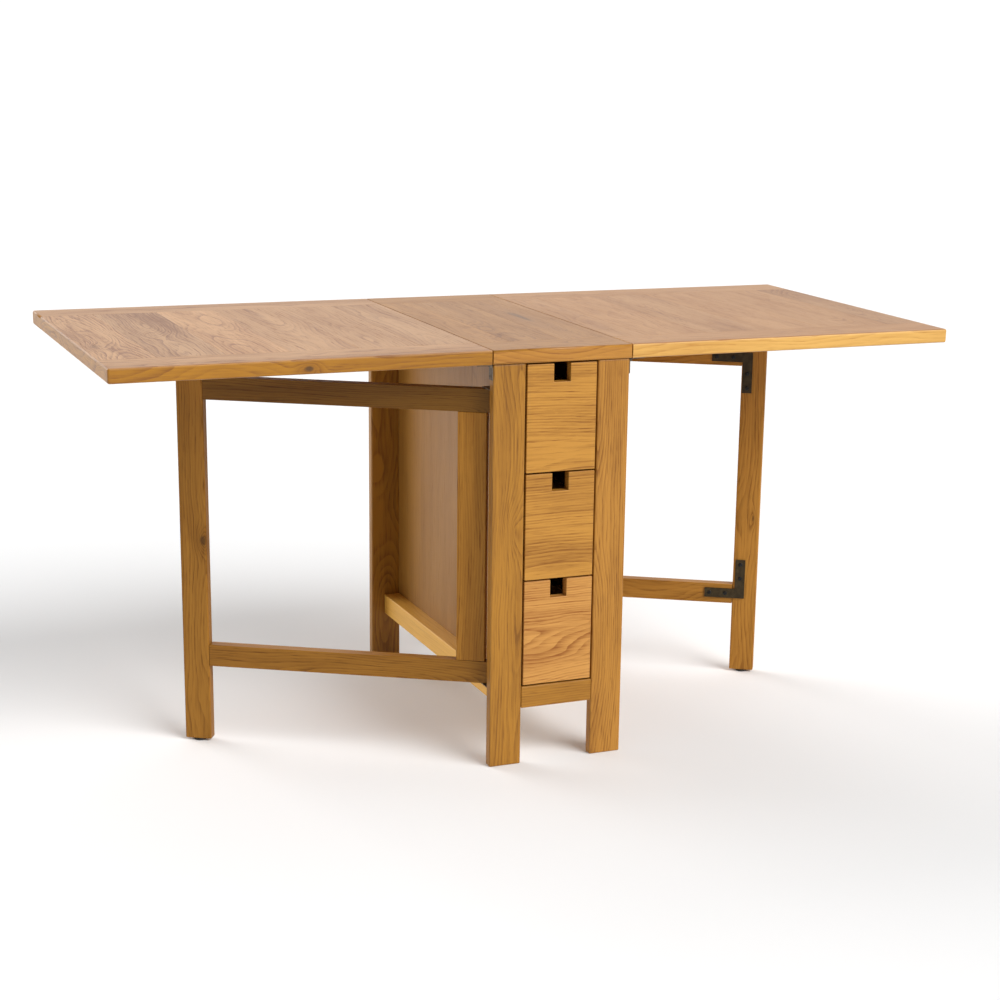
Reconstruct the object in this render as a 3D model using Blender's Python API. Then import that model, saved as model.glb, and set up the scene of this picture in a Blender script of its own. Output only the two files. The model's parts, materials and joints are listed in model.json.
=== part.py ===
"""Gateleg table: a narrow drawer carcass, two drop leaves and two swinging gates.

Frame: +X along the table's length, +Y from the drawer end to the back end,
+Z up, origin on the floor under the middle of the top.  Units are metres.
"""
import math

import bpy
from mathutils import Matrix, Vector

# Overall size
LENGTH = 1.600
DEPTH = 0.702
HEIGHT = 0.770
TOP_T = 0.026                 # thickness of the three top boards
JOINT_X = 0.134               # leaf joint line, from the middle
JOINT_GAP = 0.0024            # gap between leaf and centre board
FIT = 0.0003                  # gap left between pieces that touch

# Carcass
POST_X0 = 0.070               # inner edge of a post
POST_X1 = 0.131               # outer face of a post
POST_Y0 = 0.327
POST_Y1 = 0.347
RAIL_Z0 = 0.107               # bottom frame of rails
RAIL_Z1 = 0.148
SIDE_RAIL_X0 = 0.060
SIDE_RAIL_X1 = 0.104
PANEL_X0 = 0.062
PANEL_X1 = 0.072
BACK_Y0 = 0.330
BACK_Y1 = 0.342
SHELF_T = 0.008

# Drawers
DRAWERS = 3
FRONT_GAP = 0.003
FRONT_X = 0.0668
FRONT_T = 0.018
NOTCH_W = 0.032
NOTCH_D = 0.033
BOX_X = 0.060
BOX_T = 0.010
BOX_BACK_Y = 0.220
BOX_H = 0.138                 # height of the box sides
BOX_LIFT = 0.0065             # underside of the sides above the front's lower edge
BASE_LIFT = 0.0110            # underside of the drawer bottom, same datum
BASE_T = 0.004

# Gates, in their own frame: pivot at the origin, gate along +Y
GATE_T = 0.022
PIVOT_X = POST_X1 - GATE_T / 2
PIVOT_Y = POST_Y0 - 0.030
GATE_OPEN = math.radians(58.3)
GATE_NEAR = -0.026            # rail end beside the post
LEG_Y0 = 0.521
LEG_Y1 = 0.571
STILE_Y0 = 0.001
STILE_Y1 = 0.054
GATE_TOP_Z0 = 0.652
GATE_TOP_Z1 = 0.694
GATE_LOW_Z0 = 0.149
GATE_LOW_Z1 = 0.190
LEG_Z0 = 0.004
LEG_CLEAR = 0.0006            # between the leg's top and the leaf
GLIDE_R = 0.0115
CORNER_ARM = 0.083
CORNER_W = 0.020
CORNER_T = 0.0025
PIN_R = 0.003
PIN_BORE_R = 0.00308
PIN_LEN = 0.012

# Leaf hinges, one at each post
HINGE_X = 0.1345
HINGE_Z = 0.7405
HINGE_Y = 0.337
HINGE_HALF = 0.008
BARREL_R = 0.0022

UNDER = HEIGHT - TOP_T        # underside of the top

COLOURS = {
    "oak_top": ((0.56, 0.34, 0.15, 1), 0.0, 0.45),
    "oak_frame": ((0.50, 0.28, 0.10, 1), 0.0, 0.45),
    "oak_drawer": ((0.60, 0.36, 0.14, 1), 0.0, 0.45),
    "oak_panel": ((0.45, 0.28, 0.16, 1), 0.0, 0.50),
    "drawer_wood": ((0.66, 0.50, 0.30, 1), 0.0, 0.60),
    "bronze_paint": ((0.05, 0.04, 0.03, 1), 0.3, 0.50),
    "hinge_steel": ((0.55, 0.54, 0.52, 1), 1.0, 0.35),
    "glide_black": ((0.02, 0.02, 0.02, 1), 0.0, 0.50),
}


def clear_scene():
    for obj in list(bpy.data.objects):
        bpy.data.objects.remove(obj, do_unlink=True)


def material(slot):
    found = bpy.data.materials.get(slot)
    if found:
        return found
    colour, metal, rough = COLOURS[slot]
    made = bpy.data.materials.new(slot)
    made.use_nodes = True
    shader = made.node_tree.nodes["Principled BSDF"]
    shader.inputs["Base Color"].default_value = colour
    shader.inputs["Metallic"].default_value = metal
    shader.inputs["Roughness"].default_value = rough
    return made


def new_object(name, verts, faces, slot, place=None):
    """One object whose mesh is given about the origin and put in place by its matrix."""
    mesh = bpy.data.meshes.new(name)
    mesh.from_pydata([tuple(v) for v in verts], [], faces)
    mesh.update()
    obj = bpy.data.objects.new(name, mesh)
    bpy.context.scene.collection.objects.link(obj)
    mesh.materials.append(material(slot))
    if place is not None:
        obj.matrix_world = place
    return obj


def box_data(low, high):
    xs, ys, zs = zip(low, high)
    verts = [(x, y, z) for z in zs for y in ys for x in xs]
    faces = [(0, 2, 3, 1), (4, 5, 7, 6), (0, 1, 5, 4),
             (2, 6, 7, 3), (0, 4, 6, 2), (1, 3, 7, 5)]
    return verts, faces


def ease(obj, width, segments=2):
    """Round the long edges of a board."""
    mod = obj.modifiers.new("ease", "BEVEL")
    mod.width = width
    mod.segments = segments
    mod.limit_method = "ANGLE"
    mod.angle_limit = math.radians(40)
    return obj


def board(name, low, high, slot, place=None, edge=0.0015):
    """A board between two corners, with its origin at its middle or at the given place."""
    if place is None:
        middle = [(a + b) / 2 for a, b in zip(low, high)]
        place = Matrix.Translation(middle)
        low = [a - m for a, m in zip(low, middle)]
        high = [a - m for a, m in zip(high, middle)]
    verts, faces = box_data(low, high)
    obj = new_object(name, verts, faces, slot, place)
    if edge:
        ease(obj, edge)
    return obj


def prism(name, outline, t0, t1, axis, slot, place=None):
    """An outline extruded along X or Y.  The outline is (Y, Z) for X and (X, Z) for Y."""
    verts = []
    for t in (t0, t1):
        for a, z in outline:
            verts.append((t, a, z) if axis == "X" else (a, t, z))
    n = len(outline)
    first = list(range(n))
    last = [n + i for i in reversed(range(n))]
    sides = [(i, i + n, (i + 1) % n + n, (i + 1) % n) for i in range(n)]
    faces = [tuple(first), tuple(last)] + sides
    obj = new_object(name, verts, faces, slot, place)
    fix_normals(obj)
    return obj


def signed_volume(mesh):
    mesh.calc_loop_triangles()
    total = 0.0
    for tri in mesh.loop_triangles:
        a, b, c = (mesh.vertices[i].co for i in tri.vertices)
        total += a.dot(b.cross(c)) / 6
    return total


def fix_normals(obj):
    if signed_volume(obj.data) < 0:
        obj.data.flip_normals()


def cylinder(name, base, length, radius, axis, slot, place=None, sides=32):
    """A round bar from base, running along +X, +Y or +Z."""
    turn = {"X": Matrix.Rotation(math.pi / 2, 4, "Y"),
            "Y": Matrix.Rotation(-math.pi / 2, 4, "X"),
            "Z": Matrix.Identity(4)}[axis]
    verts = []
    for z in (0.0, length):
        for i in range(sides):
            angle = 2 * math.pi * i / sides
            point = Vector((radius * math.cos(angle), radius * math.sin(angle), z))
            verts.append(turn @ point + Vector(base))
    bottom = tuple(reversed(range(sides)))
    top = tuple(range(sides, 2 * sides))
    walls = [(i, (i + 1) % sides, (i + 1) % sides + sides, i + sides) for i in range(sides)]
    return new_object(name, verts, [bottom, top] + walls, slot, place)


def combine(obj, tool, operation):
    """Join the tool to the object or cut it away, then drop the tool."""
    bpy.context.view_layer.update()
    mod = obj.modifiers.new("combine", "BOOLEAN")
    mod.operation = operation
    mod.solver = "EXACT"
    mod.object = tool
    bpy.context.view_layer.update()
    graph = bpy.context.evaluated_depsgraph_get()
    mesh = bpy.data.meshes.new_from_object(obj.evaluated_get(graph))
    obj.modifiers.remove(mod)
    obj.data = mesh
    bpy.data.objects.remove(tool, do_unlink=True)
    return obj


def mirrored(low, high, sx, sy):
    """The same box on another side of the table."""
    xs = sorted((low[0] * sx, high[0] * sx))
    ys = sorted((low[1] * sy, high[1] * sy))
    return (xs[0], ys[0], low[2]), (xs[1], ys[1], high[2])


def build_top():
    half = DEPTH / 2
    inner = JOINT_X + JOINT_GAP / 2
    edge = JOINT_X - JOINT_GAP / 2
    board("top_centre", (-edge, -half, UNDER), (edge, half, HEIGHT), "oak_top", edge=0.0012)
    for side, sign in (("L", -1), ("R", 1)):
        low, high = mirrored((inner, -half, UNDER), (LENGTH / 2, half, HEIGHT), sign, 1)
        axis = Vector((sign * HINGE_X, 0, HINGE_Z))
        low = [a - b for a, b in zip(low, axis)]
        high = [a - b for a, b in zip(high, axis)]
        board("leaf_" + side, low, high, "oak_top", Matrix.Translation(axis), edge=0.0012)


def build_carcass():
    for end, sy in (("front", -1), ("back", 1)):
        for side, sx in (("L", -1), ("R", 1)):
            low, high = mirrored((POST_X0, POST_Y0, 0), (POST_X1, POST_Y1, UNDER - FIT), sx, sy)
            board("post_%s_%s" % (end, side), low, high, "oak_frame", edge=0.0025)
        low, high = mirrored((-POST_X0 + FIT, POST_Y0, RAIL_Z0),
                             (POST_X0 - FIT, POST_Y1, RAIL_Z1), 1, sy)
        board("rail_" + end, low, high, "oak_frame")
    length = POST_Y0 - FIT
    for side, sx in (("L", -1), ("R", 1)):
        low, high = mirrored((SIDE_RAIL_X0, -length, RAIL_Z0),
                             (SIDE_RAIL_X1, length, RAIL_Z1), sx, 1)
        board("rail_side_" + side, low, high, "oak_frame")
        low, high = mirrored((PANEL_X0, -length, RAIL_Z1 + FIT),
                             (PANEL_X1, length, UNDER - FIT), sx, 1)
        board("panel_side_" + side, low, high, "oak_panel", edge=0)
    wide = POST_X0 - FIT
    board("panel_back", (-wide, BACK_Y0, RAIL_Z1 + FIT), (wide, BACK_Y1, UNDER - FIT),
          "oak_panel", edge=0)


def front_height():
    return (UNDER - RAIL_Z1 - (DRAWERS + 1) * FRONT_GAP) / DRAWERS


def drawer_front(name, z0, z1, place):
    half = NOTCH_W / 2
    outline = [(-FRONT_X, z0), (FRONT_X, z0), (FRONT_X, z1), (half, z1),
               (half, z1 - NOTCH_D), (-half, z1 - NOTCH_D), (-half, z1), (-FRONT_X, z1)]
    obj = prism(name, outline, -POST_Y1, -POST_Y1 + FRONT_T, "Y", "oak_drawer", place)
    ease(obj, 0.001)


def build_drawer(number, z0):
    """Drawer with its lower front edge at z0; its origin is on the floor line at x = y = 0."""
    name = "drawer_%d_" % number
    place = Matrix.Translation((0, 0, z0))
    drawer_front(name + "front", 0.0, front_height(), place)
    y0 = -POST_Y1 + FRONT_T + FIT
    z_low, z_high = BOX_LIFT, BOX_LIFT + BOX_H
    for side, sx in (("L", -1), ("R", 1)):
        low, high = mirrored((BOX_X - BOX_T, y0, z_low), (BOX_X, BOX_BACK_Y, z_high), sx, 1)
        board(name + "side_" + side, low, high, "drawer_wood", place, edge=0.0008)
    inner = BOX_X - BOX_T - FIT
    base_top = BASE_LIFT + BASE_T
    board(name + "base", (-inner, y0, BASE_LIFT), (inner, BOX_BACK_Y, base_top),
          "drawer_wood", place, edge=0)
    board(name + "back", (-inner, BOX_BACK_Y - BOX_T, base_top + FIT),
          (inner, BOX_BACK_Y, z_high), "drawer_wood", place, edge=0.0008)


def build_drawers():
    """Three drawers counted from the top, each running on a shelf board."""
    pitch = front_height() + FRONT_GAP
    wide = PANEL_X0 - FIT
    length = POST_Y0 - 2 * FIT
    for i in range(DRAWERS):
        number = DRAWERS - i
        z0 = RAIL_Z1 + FRONT_GAP + i * pitch
        build_drawer(number, z0)
        shelf = z0 - FRONT_GAP + 2 * FIT
        board("shelf_%d" % number, (-wide, -length, shelf), (wide, length, shelf + SHELF_T),
              "drawer_wood", edge=0)


def corner_bracket(name, corner_y, z_out, z_dir, place):
    """L of flat bar on the gate's inner face, its outer corner at (corner_y, z_out)."""
    far = corner_y - CORNER_ARM
    width = CORNER_W * z_dir
    reach = CORNER_ARM * z_dir
    outline = [(corner_y, z_out), (far, z_out), (far, z_out + width),
               (corner_y - CORNER_W, z_out + width),
               (corner_y - CORNER_W, z_out + reach), (corner_y, z_out + reach)]
    x0 = GATE_T / 2 + FIT
    prism(name, outline, x0, x0 + CORNER_T, "X", "bronze_paint", place)


def gate_rail(name, z0, z1, pin_z, bore_dir, place):
    """Rail with a blind bore for its pivot pin."""
    half = GATE_T / 2
    obj = board(name, (-half, GATE_NEAR, z0), (half, LEG_Y0 - FIT, z1), "oak_frame", place, edge=0)
    depth = PIN_LEN + 0.002
    start = pin_z - 0.001 if bore_dir > 0 else pin_z + 0.001 - (depth + 0.001)
    bore = cylinder("bore", (0, 0, start), depth + 0.001, PIN_BORE_R, "Z", "oak_frame", place, 24)
    combine(obj, bore, "DIFFERENCE")
    ease(obj, 0.001)


def build_gate(side, turn):
    """One gate about its pivot; turn is 0 for the left and half a turn for the right."""
    spin = Matrix.Rotation(turn, 4, "Z")
    pivot = spin @ Vector((-PIVOT_X, -PIVOT_Y, 0))
    place = Matrix.Translation(pivot) @ Matrix.Rotation(turn + GATE_OPEN, 4, "Z")
    half = GATE_T / 2
    name = "gate_%s_" % side
    board(name + "leg", (-half, LEG_Y0, LEG_Z0), (half, LEG_Y1, UNDER - LEG_CLEAR),
          "oak_frame", place, edge=0.0025)
    gate_rail(name + "rail_top", GATE_TOP_Z0, GATE_TOP_Z1, GATE_TOP_Z1, -1, place)
    gate_rail(name + "rail_low", GATE_LOW_Z0, GATE_LOW_Z1, GATE_LOW_Z0, 1, place)
    board(name + "stile", (-half, STILE_Y0, GATE_LOW_Z1 + FIT),
          (half, STILE_Y1, GATE_TOP_Z0 - FIT), "oak_frame", place)
    middle = (LEG_Y0 + LEG_Y1) / 2
    glide = cylinder(name + "glide", (0, middle, 0), LEG_Z0 - FIT, GLIDE_R, "Z",
                     "glide_black", place)
    ease(glide, 0.0008)
    corner_bracket(name + "corner_top", LEG_Y0 + 0.022, GATE_TOP_Z0 + 0.028, -1, place)
    corner_bracket(name + "corner_low", LEG_Y0 + 0.025, GATE_LOW_Z0 + 0.012, 1, place)
    for label, z, up in (("top", GATE_TOP_Z1, 1), ("low", GATE_LOW_Z0, -1)):
        build_pivot("pivot_%s_%s" % (side, label), z, up, spin)


def build_pivot(name, rail_z, up, spin):
    """Angle plate on the post's inner face carrying a pin that enters the gate rail."""
    place = spin @ Matrix.Translation((-PIVOT_X, -PIVOT_Y, 0))
    half = 0.009
    back = -(POST_Y0 - PIVOT_Y) + FIT
    near, far = rail_z + up * 0.0008, rail_z + up * 0.0028
    tall = rail_z + up * 0.0300
    outline = [(back, near), (0.0085, near), (0.0085, far), (back + 0.002, far),
               (back + 0.002, tall), (back, tall)]
    obj = prism(name, outline, -half, half, "X", "hinge_steel", place)
    z0, z1 = sorted((rail_z + up * 0.0018, rail_z - up * PIN_LEN))
    pin = cylinder("pin", (0, 0, z0), z1 - z0, PIN_R, "Z", "hinge_steel", place, 24)
    combine(obj, pin, "UNION")


def hinge_half(name, sx, sy, plates, barrel_y, place):
    """Plates given as boxes for the right-hand side, joined to half of the barrel."""
    obj = None
    for low, high in plates:
        low, high = mirrored(low, high, sx, sy)
        low = [a - b for a, b in zip(low, place.translation)]
        high = [a - b for a, b in zip(high, place.translation)]
        piece = board(name if obj is None else "piece", low, high, "hinge_steel", place, edge=0)
        obj = piece if obj is None else combine(obj, piece, "UNION")
    ends = sorted(y * sy for y in barrel_y)
    base = Vector((sx * HINGE_X, ends[0], HINGE_Z)) - place.translation
    barrel = cylinder("barrel", base, ends[1] - ends[0], BARREL_R, "Y", "hinge_steel", place, 20)
    combine(obj, barrel, "UNION")


def build_leaf_hinges():
    """Small butt hinges: one plate on the post's outer face, one under the leaf."""
    y0, y1 = HINGE_Y - HINGE_HALF, HINGE_Y + HINGE_HALF
    split = HINGE_Y
    for end, sy in (("front", -1), ("back", 1)):
        for side, sx in (("L", -1), ("R", 1)):
            place = Matrix.Translation((sx * HINGE_X, 0, HINGE_Z))
            fixed = [((POST_X1 + FIT, y0, 0.7160), (POST_X1 + 0.0019, y1, 0.7388)),
                     ((POST_X1 + FIT, y0, 0.7380), (POST_X1 + 0.0019, split - FIT, 0.7405))]
            name = "hinge_%s_%s_" % (end, side)
            hinge_half(name + "fixed", sx, sy, fixed, (y0, split - FIT), place)
            plate_x = 0.1380
            moving = [((plate_x, y0, 0.7421), (0.1610, y1, UNDER - FIT)),
                      ((HINGE_X, split + FIT, 0.7421), (plate_x + 0.001, y1, UNDER - FIT))]
            hinge_half(name + "leaf", sx, sy, moving, (split + FIT, y1), place)


def main():
    clear_scene()
    build_top()
    build_carcass()
    build_drawers()
    build_gate("L", 0.0)
    build_gate("R", math.pi)
    build_leaf_hinges()


main()
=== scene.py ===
"""Looks of the gateleg table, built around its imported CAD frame.

Frame: +X along the table, +Y away from the drawer end, +Z up, metres.
The top is rebuilt as single boards.  Every other wooden piece is the CAD solid in oak.
"""
import json
import math
import random

import bmesh
import bpy
from mathutils import Matrix, Vector


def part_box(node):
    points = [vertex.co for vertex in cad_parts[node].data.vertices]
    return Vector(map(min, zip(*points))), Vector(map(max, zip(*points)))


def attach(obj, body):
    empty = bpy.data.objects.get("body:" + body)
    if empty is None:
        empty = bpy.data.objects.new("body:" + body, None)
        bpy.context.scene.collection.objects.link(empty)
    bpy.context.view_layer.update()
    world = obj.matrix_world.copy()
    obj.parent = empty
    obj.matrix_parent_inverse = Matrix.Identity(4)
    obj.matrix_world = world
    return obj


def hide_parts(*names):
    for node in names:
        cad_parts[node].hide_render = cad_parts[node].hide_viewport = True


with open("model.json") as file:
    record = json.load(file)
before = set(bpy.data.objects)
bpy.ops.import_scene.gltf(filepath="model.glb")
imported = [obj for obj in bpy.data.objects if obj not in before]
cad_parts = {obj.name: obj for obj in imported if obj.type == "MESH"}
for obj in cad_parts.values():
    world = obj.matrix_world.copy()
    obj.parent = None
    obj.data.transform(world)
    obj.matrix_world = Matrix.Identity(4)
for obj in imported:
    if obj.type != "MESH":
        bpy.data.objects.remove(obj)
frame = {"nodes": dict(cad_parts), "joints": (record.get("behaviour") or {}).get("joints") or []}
NODES = frame["nodes"]
JOINTS = {j["name"]: j for j in frame["joints"]}
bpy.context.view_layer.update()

GATE_OPEN = math.radians(58.3)      # how far the gates stand open in the CAD
BORDER_FRONT = 0.088                # lipping along the front and back edges of the top
OUTER_ROUND = 0.0036                # rounding of the top's outer edges
BOARD_CHAMFER = 0.0003              # hairline V between two boards
BRACKET_SCREW_R = 0.0042            # screw heads of the gates' corner brackets
BRACKET_END = 0.010                 # from a bracket's end or edge to its screw
BRACKET_INNER = 0.043               # from a bracket's corner edge to its inner screw
PLATE_SCREW_R = 0.0019              # screw heads of the fixed hinge plates
PLATE_SCREW_UP = 0.006              # their height above the plate's lower edge
PLATE_SCREW_APART = 0.0042          # from the plate's middle to each of them
LEAF_SCREW_R = 0.0022               # screw heads under the leaf's hinge plates
LEAF_SCREWS_IN = (0.005, 0.015)     # from the leaf plate's far edge to them
PLATE_FACE_X = 0.1329               # outer face of the fixed hinge plates, either side of x = 0
LEAF_PLATE_Z = 0.7421               # underside of the hinge plates below the leaves


# ---------------------------------------------------------------- node helpers

class Net:
    """Short names for making and linking shader nodes."""

    def __init__(self, tree):
        self.tree = tree

    def add(self, kind, **props):
        prefix = "" if kind.startswith("Node") else "ShaderNode"
        node = self.tree.nodes.new(prefix + kind)
        for key, value in props.items():
            setattr(node, key, value)
        return node

    def feed(self, socket, value):
        if isinstance(value, bpy.types.NodeSocket):
            self.tree.links.new(value, socket)
        elif value is not None:
            socket.default_value = value

    def math(self, operation, a, b=None, c=None, clamp=False):
        node = self.add("Math", operation=operation, use_clamp=clamp)
        for socket, value in zip(node.inputs, (a, b, c)):
            self.feed(socket, value)
        return node.outputs[0]

    def vector(self, operation, a, b=None, c=None):
        node = self.add("VectorMath", operation=operation)
        for socket, value in zip(node.inputs, (a, b, c)):
            self.feed(socket, value)
        return node.outputs["Value" if operation in ("LENGTH", "DISTANCE") else "Vector"]

    def scale(self, vec, factor):
        node = self.add("VectorMath", operation="SCALE")
        self.feed(node.inputs[0], vec)
        self.feed(node.inputs["Scale"], factor)
        return node.outputs["Vector"]

    def split(self, vec):
        node = self.add("SeparateXYZ")
        self.feed(node.inputs[0], vec)
        return node.outputs

    def join(self, x, y, z):
        node = self.add("CombineXYZ")
        for socket, value in zip(node.inputs, (x, y, z)):
            self.feed(socket, value)
        return node.outputs[0]

    def noise(self, vec, scale=1.0, detail=2.0, rough=0.5):
        node = self.add("TexNoise")
        self.feed(node.inputs["Vector"], vec)
        node.inputs["Scale"].default_value = scale
        node.inputs["Detail"].default_value = detail
        node.inputs["Roughness"].default_value = rough
        return node.outputs[0]

    def smooth(self, value, low, high, to_low=0.0, to_high=1.0):
        node = self.add("MapRange", interpolation_type="SMOOTHSTEP")
        for socket, v in zip(node.inputs, (value, low, high, to_low, to_high)):
            self.feed(socket, v)
        return node.outputs[0]

    def mix(self, factor, a, b, blend="MIX"):
        node = self.add("Mix", data_type="RGBA", blend_type=blend)
        for index, value in ((0, factor), (6, a), (7, b)):     # the colour sockets
            self.feed(node.inputs[index], value)
        return node.outputs[2]

    def bump(self, height, strength, distance):
        node = self.add("Bump")
        node.inputs["Strength"].default_value = strength
        node.inputs["Distance"].default_value = distance
        self.feed(node.inputs["Height"], height)
        return node.outputs[0]


def add_socket(tree, name, kind, out=False, default=None):
    made = tree.interface.new_socket(name, in_out="OUTPUT" if out else "INPUT",
                                     socket_type="NodeSocket" + kind)
    if default is not None:
        made.default_value = default


def oak_group():
    """Solid oak.  Grain: X along the fibres, Y across the face, Z through the board."""
    tree = bpy.data.node_groups.new("oak", "ShaderNodeTree")
    for name, kind, default in (
            ("Grain", "Vector", (0, 0, 0)), ("Seed", "Float", 0.0), ("Tone", "Float", 1.0),
            ("Figure", "Float", 1.0), ("Contrast", "Float", 1.0), ("Pith", "Float", 0.0),
            ("Rings", "Float", 240.0),
            ("Light", "Color", (0.6, 0.3, 0.1, 1)), ("Dark", "Color", (0.3, 0.13, 0.03, 1)),
            ("Eye", "Vector", (9, 9, 9)), ("Eye size", "Float", 0.02),
            ("Eye stretch", "Float", 1.0), ("Eye dark", "Float", 0.0)):
        add_socket(tree, name, kind, default=default)
    for name, kind in (("Color", "Color"), ("Roughness", "Float"), ("Height", "Float")):
        add_socket(tree, name, kind, out=True)
    net = Net(tree)
    given = net.add("NodeGroupInput").outputs
    grain, seed, figure = given["Grain"], given["Seed"], given["Figure"]

    shift = net.scale(net.join(3.71, 1.37, 2.23), seed)
    place = net.vector("ADD", grain, shift)
    x, y, z = net.split(grain)

    def stretched(scales, away=None, centre=0.5, **settings):
        """Noise drawn out along the fibres, less centre."""
        where = net.vector("MULTIPLY", place, scales)
        if away:
            where = net.vector("ADD", where, away)
        value = net.noise(where, **settings)
        return net.math("SUBTRACT", value, centre) if centre else value

    # growth rings round a wandering pith, so flat faces show straight grain and arches
    drift = stretched((1.6, 3.0, 3.0), detail=2)
    rise = stretched((2.6, 7.0, 7.0), away=(7.3, 2.9, 5.1), detail=1.5)
    ripple = stretched((14.0, 60.0, 60.0), detail=2.5)
    across = net.math("MULTIPLY_ADD", net.math("MULTIPLY", drift, figure), 0.085,
                      net.math("ADD", y, given["Pith"]))
    depth = net.math("MULTIPLY_ADD", net.math("MULTIPLY", rise, figure), 0.150,
                     net.math("ADD", z, 0.045))
    radius = net.math("SQRT", net.math("ADD", net.math("MULTIPLY", across, across),
                                       net.math("MULTIPLY", depth, depth)))
    radius = net.math("MULTIPLY_ADD", ripple, 0.0036, radius)

    # a knot or eye bends the rings round itself
    off = net.vector("SUBTRACT", grain, given["Eye"])
    ox, oy, oz = net.split(off)
    near = net.vector("LENGTH", net.join(net.math("DIVIDE", ox, given["Eye stretch"]), oy, oz))
    near = net.math("MULTIPLY_ADD", ripple, 0.006, near)
    ratio = net.math("DIVIDE", near, given["Eye size"])
    hold = net.math("EXPONENT", net.math("MULTIPLY", net.math("MULTIPLY", ratio, ratio), -1.0))
    radius = net.math("MULTIPLY_ADD", hold, net.math("MULTIPLY", near, 0.9), radius)
    radius = net.math("MULTIPLY_ADD", hold, net.math("MULTIPLY", given["Eye size"], -0.9), radius)

    rings = net.math("MULTIPLY_ADD", radius, given["Rings"], seed)
    year = net.math("FLOOR", rings)
    part = net.math("FRACT", rings)
    white = net.add("TexWhiteNoise", noise_dimensions="1D")
    net.feed(white.inputs["W"], year)
    strength = net.math("MULTIPLY_ADD", white.outputs["Value"], 0.7, 0.3)
    early = net.math("MULTIPLY", net.smooth(part, 0.0, 0.10),
                     net.math("POWER", net.math("SUBTRACT", 1.0, part), 2.0))
    dashes = net.smooth(stretched((20.0, 250.0, 250.0), centre=0.0, detail=2), 0.3, 0.68)
    early = net.math("MULTIPLY", net.math("MULTIPLY", early, strength),
                     net.math("MULTIPLY_ADD", dashes, 0.85, 0.75))

    # open pores, fibres and slow changes of tone
    pores = stretched((24.0, 520.0, 520.0), centre=0.0, detail=2, rough=0.6)
    pores = net.smooth(pores, 0.52, 0.70)
    pores = net.math("MULTIPLY", pores, net.math("MULTIPLY_ADD", early, 0.7, 0.35))
    fibres = stretched((5.0, 190.0, 190.0), detail=3, rough=0.65)
    cloud = stretched((2.6, 19.0, 19.0), detail=2.5)
    flecks = net.smooth(stretched((70.0, 240.0, 60.0), centre=0.0, detail=1), 0.66, 0.8)

    dark = net.math("MULTIPLY", early, 0.45)
    for layer, weight in ((pores, 0.52), (fibres, 0.62), (cloud, 1.00), (flecks, -0.10)):
        dark = net.math("MULTIPLY_ADD", layer, weight, dark)
    dark = net.math("MULTIPLY", dark, given["Contrast"])
    core = net.math("MULTIPLY", net.smooth(ratio, 0.36, 0.12), given["Eye dark"])
    halo = net.math("MULTIPLY", net.smooth(ratio, 1.3, 0.3), given["Eye dark"])
    dark = net.math("MULTIPLY_ADD", halo, 0.45, dark)
    colour = net.mix(net.math("ADD", dark, 0.14, clamp=True), given["Light"], given["Dark"])
    colour = net.mix(core, colour, (0.060, 0.026, 0.007, 1))
    result = net.add("NodeGroupOutput").inputs
    net.feed(result["Color"], net.scale(colour, given["Tone"]))
    dull = net.math("MULTIPLY_ADD", cloud, 0.10, 0.40)
    net.feed(result["Roughness"], net.math("MULTIPLY_ADD", pores, 0.14, dull))
    sunk = net.math("MULTIPLY", pores, -0.65)
    net.feed(result["Height"], net.math("MULTIPLY_ADD", early, -0.35, sunk))
    return tree


OAK = oak_group()

# light and dark grain colours, linear
HONEY = ((0.510, 0.240, 0.038), (0.230, 0.082, 0.008))
ORANGE = ((0.570, 0.275, 0.065), (0.280, 0.092, 0.013))
GOLD = ((0.485, 0.218, 0.033), (0.225, 0.082, 0.008))
AMBER = ((0.400, 0.178, 0.020), (0.205, 0.078, 0.007))
AMBER_PALE = ((0.400, 0.184, 0.030), (0.195, 0.076, 0.010))
SHADE = ((0.400, 0.178, 0.025), (0.185, 0.067, 0.007))
PALE_LIT = ((0.780, 0.435, 0.080), (0.500, 0.235, 0.030))
VENEER = ((0.360, 0.168, 0.027), (0.212, 0.086, 0.012))
INSIDE = ((0.680, 0.450, 0.200), (0.500, 0.290, 0.105))
# the three top fields differ by leaf as painted sheen: the left field is paler and pinker, the centre
# darkest
FIELD_LEFT_SHEEN = ((0.500, 0.262, 0.104), (0.225, 0.080, 0.020))
FIELD_CENTRE_SHEEN = ((0.400, 0.178, 0.034), (0.195, 0.067, 0.009))
FIELD_RIGHT_SHEEN = ((0.450, 0.213, 0.062), (0.235, 0.080, 0.016))
# edge colours for the side faces of the top's boards, a more amber copy of the top's oak: painted
# light and shade, the left leaf's edge darkest and the right leaf's edge brightest
EDGE_LEFT_LIT = ((0.415, 0.178, 0.005), (0.215, 0.075, 0.002))
EDGE_CENTRE_LIT = ((0.490, 0.216, 0.026), (0.240, 0.079, 0.005))
EDGE_RIGHT_LIT = ((0.690, 0.390, 0.095), (0.420, 0.180, 0.026))


def rgba(colour):
    return tuple(colour) + (1.0,)


def shaded(name):
    made = bpy.data.materials.new(name)
    made.use_nodes = True
    net = Net(made.node_tree)
    return made, net, made.node_tree.nodes["Principled BSDF"]


def wear(piece, material):
    piece.data.materials.clear()
    piece.data.materials.append(material)


def finish_oak(net, shader, group, bump=0.35, gloss=0.30, coat=0.0):
    """Satin lacquer over the wood."""
    net.feed(shader.inputs["Base Color"], group.outputs["Color"])
    net.feed(shader.inputs["Roughness"], group.outputs["Roughness"])
    net.feed(shader.inputs["Normal"], net.bump(group.outputs["Height"], bump, 0.0004))
    shader.inputs["IOR"].default_value = 1.5
    shader.inputs["Specular IOR Level"].default_value = gloss
    shader.inputs["Coat Weight"].default_value = coat
    shader.inputs["Coat Roughness"].default_value = 0.28


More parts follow.
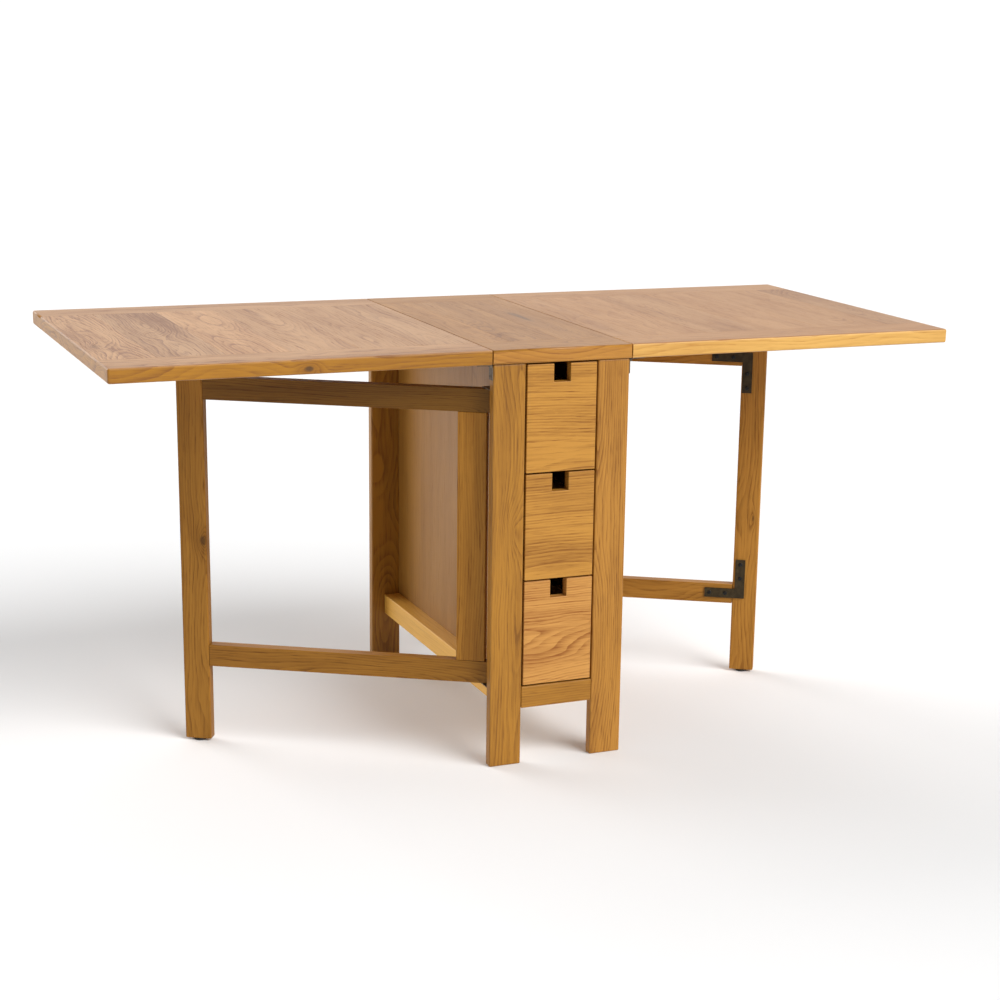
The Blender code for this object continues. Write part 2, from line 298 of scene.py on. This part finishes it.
def oak_on(node, along, colours, seed, tone=1.0, figure=1.0, contrast=1.0, turn=None,
           pith=0.0, rings=240.0, gloss=0.30, eye=None, eye_size=0.02, eye_stretch=2.0, eye_dark=0.0):
    """Oak for a CAD node.  along names the axes of the fibres and of the board's width.

    An eye is a place in the frame.  turn is (angle, pivot) for a gate's pieces, and their eye
    is measured from the piece's own middle, along the gate's axes.
    """
    made, net, shader = shaded("oak_" + node)
    low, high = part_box(node)
    middle = (low + high) / 2
    coords = net.add("TexCoord").outputs["Object"]
    if turn:
        angle, pivot = turn
        spin = net.add("VectorRotate", rotation_type="Z_AXIS")
        net.feed(spin.inputs["Vector"], coords)
        spin.inputs["Center"].default_value = pivot
        spin.inputs["Angle"].default_value = -angle
        coords = spin.outputs[0]
        middle = pivot + Matrix.Rotation(-angle, 3, "Z") @ (middle - pivot)
    coords = net.vector("SUBTRACT", coords, tuple(middle))
    through = next(a for a in "XYZ" if a not in along)
    order = ["XYZ".index(a) for a in along + through]
    axes = net.split(coords)
    group = net.add("Group", node_tree=OAK)
    net.feed(group.inputs["Grain"], net.join(*(axes[i] for i in order)))
    if eye:
        put = Vector(eye) if turn else Vector(eye) - middle
        group.inputs["Eye"].default_value = tuple(put[i] for i in order)
        group.inputs["Eye size"].default_value = eye_size
        group.inputs["Eye stretch"].default_value = eye_stretch
        group.inputs["Eye dark"].default_value = eye_dark
    for key, value in (("Seed", seed), ("Tone", tone), ("Figure", figure),
                       ("Contrast", contrast), ("Pith", pith), ("Rings", rings),
                       ("Light", rgba(colours[0])), ("Dark", rgba(colours[1]))):
        group.inputs[key].default_value = value
    finish_oak(net, shader, group, gloss=gloss)
    wear(NODES[node], made)


# ---------------------------------------------------------------- table top

def rounded_slab(low, high, radius, rounds):
    """A board rounded along each edge for whose middle rounds(point) is true."""
    bm = bmesh.new()
    bmesh.ops.create_cube(bm, size=1.0)
    place = Matrix.Translation((low + high) / 2) @ Matrix.Diagonal((*(high - low), 1))
    bmesh.ops.transform(bm, matrix=place, verts=bm.verts)
    edges = [e for e in bm.edges if rounds((e.verts[0].co + e.verts[1].co) / 2)]
    bmesh.ops.bevel(bm, geom=edges, offset=radius, segments=4, profile=0.5,
                    affect="EDGES", clamp_overlap=True)
    return bm


def cut_board(source, x0, x1, y0, y1, low, high):
    """The part of a slab between four planes, closed, with a hairline chamfer at each cut."""
    bm = source.copy()
    for axis, value, sign, edge in ((0, x0, -1, low.x), (0, x1, 1, high.x),
                                    (1, y0, -1, low.y), (1, y1, 1, high.y)):
        if abs(value - edge) < 1e-6:
            continue
        normal, point = Vector(), Vector()
        normal[axis], point[axis] = sign, value
        geom = bm.verts[:] + bm.edges[:] + bm.faces[:]
        bmesh.ops.bisect_plane(bm, geom=geom, dist=1e-7, plane_co=point, plane_no=normal,
                               clear_outer=True)
        rim = [e for e in bm.edges if e.is_boundary]
        cap = bmesh.ops.contextual_create(bm, geom=rim)["faces"]
        around = {e for f in cap for e in f.edges}
        top = [e for e in around if all(abs(v.co.z - high.z) < 1e-5 for v in e.verts)]
        if top:
            bmesh.ops.bevel(bm, geom=top, offset=BOARD_CHAMFER, segments=1, affect="EDGES")
    return bm


def rank(point):
    """A sort key for points.  The cuts leave a board's vertices and faces in no fixed order."""
    return tuple(round(c, 6) for c in point)


def write_board(bm, out, grain_of, board, lipping):
    """Copies one board into the piece, with its grain place and look.  Lipping edges get slot 1, the
    edge colours with painted light and shade.
    """
    layers = out.verts.layers.float_vector
    grain = layers.get("grain") or layers.new("grain")
    looks = layers.get("board") or layers.new("board")
    copies = {}
    for v in sorted(bm.verts, key=lambda v: rank(v.co)):
        new = out.verts.new(v.co)
        new[grain], new[looks] = grain_of(v.co), board
        copies[v] = new
    for f in sorted(bm.faces, key=lambda f: rank(f.calc_center_median())):
        corners = list(f.verts)
        first = min(range(len(corners)), key=lambda i: rank(corners[i].co))
        face = out.faces.new([copies[v] for v in corners[first:] + corners[:first]])
        face.smooth = f.calc_area() < 0.0004
        # side faces take slot 1, the edge colours with painted light and shade
        face.material_index = 1 if lipping and abs(f.normal.z) < 0.6 else 0
    bm.free()


def top_oak(name, colours, contrast, rings, eye=None):
    """Oak that reads each board's grain place and look (seed, tone, figure) from the mesh."""
    made, net, shader = shaded(name)
    grain = net.add("Attribute", attribute_name="grain").outputs["Vector"]
    board = net.add("Attribute", attribute_name="board").outputs["Vector"]
    seed, tone, figure = net.split(board)
    group = net.add("Group", node_tree=OAK)
    net.feed(group.inputs["Grain"], grain)
    # plain boards look calmer
    shown = net.math("MULTIPLY_ADD", figure, contrast * 0.5, contrast * 0.4)
    for key, value in (("Seed", seed), ("Tone", tone), ("Figure", figure),
                       ("Light", rgba(colours[0])), ("Dark", rgba(colours[1])), ("Contrast", shown),
                       ("Rings", rings)):
        net.feed(group.inputs[key], value)
    if eye:
        for key, value in zip(("Eye", "Eye size", "Eye stretch", "Eye dark"), eye):
            group.inputs[key].default_value = value
    finish_oak(net, shader, group, bump=0.40, gloss=0.42, coat=0.06)
    return made


def build_top(node, body, inner, field, tones, figures, seed, colours, lit_edging, contrast, rings,
              field_eye=None, edge_eye=None):
    """One of the three top boards: front and back lipping, a field of planks, optional end strips.

    inner lists the X edges (low, high) that face a joint; field gives plank widths from -X.
    Boards count front lipping, back lipping, planks, end strip; tones and figures follow that.
    An eye is (place, size, stretch, darkness), with its place in the grain of board i at 10 i.
    """
    low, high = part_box(node)
    joint_edges = [x for end, x in (("low", low.x), ("high", high.x)) if end in inner]

    def at_joint(p):
        return any(abs(p.x - x) < 1e-4 for x in joint_edges)

    def lies_on_rim(p):
        return (abs(p.z - high.z) < 1e-4 or abs(p.z - low.z) < 1e-4 or
                abs(p.x - low.x) < 1e-4 or abs(p.x - high.x) < 1e-4)

    slab = rounded_slab(low, high, OUTER_ROUND, lambda p: lies_on_rim(p) and not at_joint(p))
    dice = random.Random(seed)
    out = bmesh.new()
    y0, y1 = low.y + BORDER_FRONT, high.y - BORDER_FRONT
    boards = [(low.x, high.x, low.y, y0, "x"), (low.x, high.x, y1, high.y, "x")]
    x = low.x
    for width in field:
        far = min(high.x, x + width)
        boards.append((x, far, y0, y1, "y"))
        x = far
    if high.x - x > 0.001:
        boards.append((x, high.x, y0, y1, "y"))
    rim = [i for i, (a, b, *_) in enumerate(boards)
           if (a == low.x and "low" not in inner) or (b == high.x and "high" not in inner)]
    for i, (a, b, c, d, way) in enumerate(boards):
        middle = Vector(((a + b) / 2, (c + d) / 2, high.z))
        bend = dice.uniform(-0.02, 0.02) if i > 2 else 0.0

        def grain_of(p, middle=middle, way=way, bend=bend, start=10.0 * i):
            q = p - middle
            along, across = (q.x, q.y) if way == "x" else (q.y, q.x)
            return Vector((along + start, across + bend, q.z))

        write_board(cut_board(slab, a, b, c, d, low, high), out, grain_of,
                    Vector((seed + 1.7 * i, tones[i], figures[i])), way == "x" or i in rim)
    slab.free()
    bmesh.ops.recalc_face_normals(out, faces=out.faces)
    mesh = bpy.data.meshes.new(node + "_boards")
    out.to_mesh(mesh)
    out.free()
    piece = bpy.data.objects.new(node + "_boards", mesh)
    bpy.context.scene.collection.objects.link(piece)
    mesh.materials.append(top_oak("oak_" + node, colours, contrast, rings, field_eye))
    # the second material is the edge copy, whose colours carry painted light and shade
    mesh.materials.append(top_oak("oak_edge_" + node, lit_edging, 1.7, 200.0, edge_eye))
    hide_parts(node)
    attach(piece, body)


build_top("leaf_L", "leaf_left", inner=("high",),
          field=(0.100, 0.118, 0.110, 0.124, 0.112),
          # the fifth tone, the third plank from -X, is raised as painted sheen
          tones=(1.02, 1.00, 1.05, 0.94, 1.12, 1.02, 1.00, 0.96),
          figures=(0.7, 0.6, 1.5, 1.35, 0.9, 0.6, 0.4, 0.5),
          seed=3.0, colours=FIELD_LEFT_SHEEN, lit_edging=EDGE_LEFT_LIT, contrast=1.95, rings=185.0,
          field_eye=((20.0 - 0.12, -0.023, 0.0), 0.035, 2.2, 0.22),
          edge_eye=((0.0036, -0.044, -0.016), 0.017, 1.7, 0.8))
build_top("top_centre", "carcass", inner=("low", "high"),
          field=(0.066, 0.098),
          tones=(1.00, 1.0, 1.03, 0.97, 1.00),
          figures=(0.7, 0.6, 0.9, 1.3, 1.0),
          seed=11.0, colours=FIELD_CENTRE_SHEEN, lit_edging=EDGE_CENTRE_LIT, contrast=1.3, rings=200.0,
          field_eye=((40.0 + 0.02, -0.010, 0.0), 0.030, 8.0, 0.55))
build_top("leaf_R", "leaf_right", inner=("low",),
          field=(0.070, 0.120, 0.128, 0.118, 0.151),
          tones=(1.04, 1.0, 1.00, 1.04, 0.98, 1.03, 1.01, 0.90),
          figures=(0.7, 0.6, 0.6, 1.0, 1.2, 0.9, 0.7, 1.4),
          seed=23.0, colours=FIELD_RIGHT_SHEEN, lit_edging=EDGE_RIGHT_LIT, contrast=1.35, rings=200.0)


# ---------------------------------------------------------------- carcass, drawers and gates

# the left front post has the bolder figure, with a swirl at mid height
oak_on("post_front_L", "ZX", AMBER, 28, 1.0, 0.95, 1.7, pith=-0.045, rings=170.0,
       eye=(-0.086, -0.347, 0.44), eye_size=0.030, eye_stretch=2.6)
oak_on("post_front_R", "ZX", GOLD, 34, 0.95, 0.5, 1.7, pith=0.045, rings=240.0)
# the left side rail's paler wood is partly painted light from the low light on the left
for side, sign, side_wood in (("L", -1, PALE_LIT), ("R", 1, HONEY)):
    oak_on("post_back_" + side, "ZX", AMBER, 41 + sign * 3, 0.88, 1.2, 1.9, pith=0.01, rings=140.0)
    oak_on("rail_side_" + side, "YZ", side_wood, 51 + sign, 1.0, 0.4, 0.9, pith=0.05)
    oak_on("panel_side_" + side, "ZY", VENEER, 61 + sign, 1.0, 0.5, 1.0, pith=0.1)
oak_on("rail_front", "XZ", AMBER, 71, 1.0, 0.4, 1.3, pith=0.05)
oak_on("rail_back", "XZ", AMBER, 73, 1.0, 0.4, 1.3, pith=0.05)
oak_on("panel_back", "ZX", VENEER, 75, 1.0, 1.0)
# wood, figure and distance of the pith from the middle of each drawer's front, top drawer first
DRAWER_LOOKS = {1: (HONEY, 0.45, 0.07), 2: (HONEY, 0.40, 0.08), 3: (ORANGE, 1.2, 0.02)}
for n, (wood, figure, pith) in DRAWER_LOOKS.items():
    oak_on("shelf_%d" % n, "YX", INSIDE, 80 + n, 0.9)
    name = "drawer_%d_" % n
    oak_on(name + "front", "XZ", wood, 90.4 + 2.3 * n, 1.0, figure, 1.6, pith=pith, rings=210.0)
    for part, along in (("side_L", "YZ"), ("side_R", "YZ"), ("back", "XZ"), ("base", "XY")):
        oak_on(name + part, along, INSIDE, 100 + n + len(part), 1.0)

# wood, then tones of leg, top rail, lower rail and stile; the tones are partly painted light and
# shade: the left gate is darker wood and painted shade under the leaf, its top rail darkest as the
# leaf's painted shadow, and the right gate is lightened as painted light
GATE_LIT_AND_SHADED_TONES = {"L": (SHADE, 0.84, 0.46, 0.83, 1.06), "R": (AMBER_PALE, 1.22, 1.35, 1.10, 1.15)}
# a knot on the face of each leg that the drawer end sees
LEG_KNOTS = {"L": dict(eye=(-0.011, -0.018, 0.016), eye_size=0.021, eye_stretch=1.8),
             "R": dict(eye=(0.011, 0.012, -0.04), eye_size=0.009, eye_stretch=4.0)}
for side, joint, turn in (("L", "gate_left_pivot", 0.0), ("R", "gate_right_pivot", math.pi)):
    pivot = Vector((*JOINTS[joint]["pos_m"][:2], 0.0))
    look = dict(turn=(turn + GATE_OPEN, pivot), gloss=0.15)
    name = "gate_%s_" % side
    wood, leg, rail_top, rail_low, stile = GATE_LIT_AND_SHADED_TONES[side]
    oak_on(name + "leg", "ZY", wood, 121 + turn, leg, 0.6, 1.5, pith=0.03, eye_dark=0.7,
           **LEG_KNOTS[side], **look)
    oak_on(name + "rail_top", "YZ", wood, 123 + turn, rail_top, 0.9, 1.6, pith=0.02, **look)
    oak_on(name + "rail_low", "YZ", wood, 125 + turn, rail_low, 0.8, 1.4, pith=0.03, **look)
    oak_on(name + "stile", "ZY", wood, 127 + turn, stile, 0.4, 1.3, pith=0.06, **look)


# ---------------------------------------------------------------- metal and plastic

def plain_material(name, colour, worn, metallic, rough, grain=90.0, bump=0.15, gloss=0.5):
    """Painted metal or plastic: fine mottling in colour and gloss, slight orange peel."""
    made, net, shader = shaded(name)
    coords = net.add("TexCoord").outputs["Object"]
    cloud = net.noise(coords, grain, 3, 0.6)
    fine = net.noise(coords, grain * 14, 2, 0.5)
    mottled = net.mix(net.smooth(cloud, 0.35, 0.7), rgba(colour), rgba(worn))
    net.feed(shader.inputs["Base Color"], mottled)
    net.feed(shader.inputs["Roughness"], net.math("MULTIPLY_ADD", fine, 0.18, rough - 0.09))
    shader.inputs["Metallic"].default_value = metallic
    shader.inputs["Specular IOR Level"].default_value = gloss
    net.feed(shader.inputs["Normal"], net.bump(fine, bump, 0.0003))
    return made


BRONZE = plain_material("bronze_paint", (0.036, 0.024, 0.009), (0.060, 0.042, 0.018),
                        metallic=0.0, rough=0.55, gloss=0.22)
STEEL = plain_material("hinge_steel", (0.12, 0.09, 0.06), (0.20, 0.15, 0.10),
                       metallic=0.35, rough=0.50, grain=160.0, gloss=0.3)
BLACK = plain_material("glide_black", (0.012, 0.012, 0.012), (0.022, 0.021, 0.020),
                       metallic=0.0, rough=0.48)
SCREW = plain_material("screw_black", (0.010, 0.010, 0.010), (0.030, 0.027, 0.024),
                       metallic=0.6, rough=0.36, grain=400.0)

METAL = {"corner": BRONZE, "glide": BLACK, "hinge": STEEL, "pivot": STEEL}
for name, node in NODES.items():
    for word, chosen in METAL.items():
        if word in name:
            wear(node, chosen)


def screw_head(bm, place, radius, sides=24):
    """Domed head with a cross recess, standing on the XY plane of place."""
    # radius and height as shares of the head's radius, and whether the cross is cut there
    rings = ((1.00, 0.00, False), (1.00, 0.10, False), (0.86, 0.22, False), (0.62, 0.29, False),
             (0.40, 0.31, True), (0.32, 0.12, True))
    rows = []
    for r, z, recess in rings:
        row = []
        for i in range(sides):
            a = 2 * math.pi * i / sides
            cross = 0.45 + 0.85 * abs(math.cos(2 * a)) ** 3 if recess else 1.0
            p = Vector((math.cos(a) * r * cross, math.sin(a) * r * cross, z)) * radius
            row.append(bm.verts.new(place @ p))
        rows.append(row)
    for lower, upper in zip(rows, rows[1:]):
        for i in range(sides):
            face = bm.faces.new((lower[i], lower[(i + 1) % sides], upper[(i + 1) % sides], upper[i]))
            face.smooth = True
    bm.faces.new(rows[-1])
    bm.faces.new(list(reversed(rows[0])))


def screws(name, places, radius, material, body):
    """Screw heads in one piece, a head at each place."""
    bm = bmesh.new()
    for place in places:
        screw_head(bm, place, radius)
    bmesh.ops.recalc_face_normals(bm, faces=bm.faces)
    mesh = bpy.data.meshes.new(name)
    bm.to_mesh(mesh)
    bm.free()
    mesh.materials.append(material)
    piece = bpy.data.objects.new(name, mesh)
    bpy.context.scene.collection.objects.link(piece)
    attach(piece, body)


def facing(point, direction, twist=0.0):
    """A place at point whose Z looks along direction."""
    turn = Vector(direction).to_track_quat("Z", "Y").to_matrix().to_4x4()
    return Matrix.Translation(point) @ turn @ Matrix.Rotation(twist, 4, "Z")


def bracket_screws(side, joint, turn, body):
    """Two screws along each arm of the gate's two corner brackets."""
    spin = turn + GATE_OPEN
    pivot = Vector((*JOINTS[joint]["pos_m"][:2], 0.0))
    to_gate = Matrix.Rotation(-spin, 4, "Z") @ Matrix.Translation(-pivot)
    to_world = to_gate.inverted()
    for level, z_dir in (("top", -1), ("low", 1)):
        node = NODES["gate_%s_corner_%s" % (side, level)]
        points = [to_gate @ v.co for v in node.data.vertices]
        face = max(p.x for p in points)
        outer = max(p.y for p in points)
        far = min(p.y for p in points)
        edge = max(p.z for p in points) if z_dir < 0 else min(p.z for p in points)
        reach = outer - far
        inset = BRACKET_END
        spots = [(far + inset, inset), (far + BRACKET_INNER, inset),
                 (outer - inset, BRACKET_INNER), (outer - inset, reach - inset)]
        places = []
        for i, (y, drop) in enumerate(spots):
            point = Vector((face, y, edge + z_dir * drop))
            places.append(to_world @ facing(point, (1, 0, 0), 0.7 * i))
        screws("gate_%s_corner_%s_screws" % (side, level), places, BRACKET_SCREW_R, SCREW,
               body)


bracket_screws("L", "gate_left_pivot", 0.0, "gate_left")
bracket_screws("R", "gate_right_pivot", math.pi, "gate_right")

for end in ("front", "back"):
    for side, sign, leaf in (("L", -1, "leaf_left"), ("R", 1, "leaf_right")):
        hinge = "hinge_%s_%s_" % (end, side)
        low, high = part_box(hinge + "fixed")
        y, z = (low.y + high.y) / 2, low.z + PLATE_SCREW_UP
        places = [facing(Vector((sign * PLATE_FACE_X, y + dy, z)), (sign, 0, 0), dy * 300)
                  for dy in (-PLATE_SCREW_APART, PLATE_SCREW_APART)]
        screws(hinge + "fixed_screws", places, PLATE_SCREW_R, STEEL, "carcass")
        low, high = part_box(hinge + "leaf")
        far = high.x if sign > 0 else low.x
        places = [facing(Vector((far - sign * dx, y, LEAF_PLATE_Z)), (0, 0, -1), dx * 200)
                  for dx in LEAF_SCREWS_IN]
        screws(hinge + "leaf_screws", places, LEAF_SCREW_R, STEEL, leaf)


# ---------------------------------------------------------------- floor, light and camera

def build_floor():
    bm = bmesh.new()
    bmesh.ops.create_grid(bm, x_segments=8, y_segments=8, size=40.0)
    mesh = bpy.data.meshes.new("floor")
    bm.to_mesh(mesh)
    bm.free()
    made, _, shader = shaded("floor")
    shader.inputs["Base Color"].default_value = (0.86, 0.86, 0.86, 1)
    shader.inputs["Roughness"].default_value = 0.9
    shader.inputs["Specular IOR Level"].default_value = 0.1
    mesh.materials.append(made)
    floor = bpy.data.objects.new("floor", mesh)
    bpy.context.scene.collection.objects.link(floor)


def build_world(level, back, seen):
    """An even dim room with a bright wall behind the table; the camera sees plain white."""
    world = bpy.data.worlds.new("studio")
    bpy.context.scene.world = world
    world.use_nodes = True
    net = Net(world.node_tree)
    ground = world.node_tree.nodes["Background"]
    ground.inputs["Color"].default_value = (1, 1, 1, 1)
    towards = net.add("VectorMath", operation="DOT_PRODUCT")
    net.feed(towards.inputs[0], net.add("TexCoord").outputs["Generated"])
    towards.inputs[1].default_value = Vector((0.25, 0.93, 0.27)).normalized()
    glow = net.math("MULTIPLY_ADD", net.smooth(towards.outputs["Value"], 0.2, 0.95), back, level)
    straight = net.add("LightPath").outputs["Is Camera Ray"]
    pick = net.add("Mix", data_type="FLOAT")
    for index, value in ((0, straight), (2, glow), (3, seen)):
        net.feed(pick.inputs[index], value)
    net.feed(ground.inputs["Strength"], pick.outputs[0])


def sun(name, azimuth, height, strength, softness):
    """Light from a compass direction (degrees from -Y, positive to +X) and height in degrees."""
    data = bpy.data.lights.new(name, "SUN")
    data.energy = strength
    data.angle = math.radians(softness)
    lamp = bpy.data.objects.new(name, data)
    a, h = math.radians(azimuth), math.radians(height)
    toward = Vector((math.sin(a) * math.cos(h), -math.cos(a) * math.cos(h), math.sin(h)))
    lamp.rotation_euler = toward.to_track_quat("Z", "Y").to_euler()
    bpy.context.scene.collection.objects.link(lamp)


def build_camera():
    """The photograph's camera; lens, place and axes were solved from the table's edges."""
    data = bpy.data.cameras.new("camera")
    data.sensor_width = 36.0
    data.lens = 73.51
    data.shift_x, data.shift_y = -0.0717, 0.0700
    data.clip_end = 200.0
    camera = bpy.data.objects.new("camera", data)
    across = Vector((0.91466, -0.40369, 0.02082)).normalized()
    ahead = Vector((0.39486, 0.88127, -0.25970)).normalized()
    up = across.cross(ahead).normalized()
    turn = Matrix((across, up, -ahead)).transposed().to_4x4()
    camera.matrix_world = Matrix.Translation((-1.43937, -3.61676, 1.32437)) @ turn
    bpy.context.scene.collection.objects.link(camera)
    bpy.context.scene.camera = camera


build_floor()
build_world(0.30, 0.62, 1.05)
sun("key", 30, 38, 3.0, 42)
sun("side", -145, 22, 1.8, 40)
build_camera()
view = bpy.context.scene.view_settings
view.view_transform = "Standard"
view.look = "None"
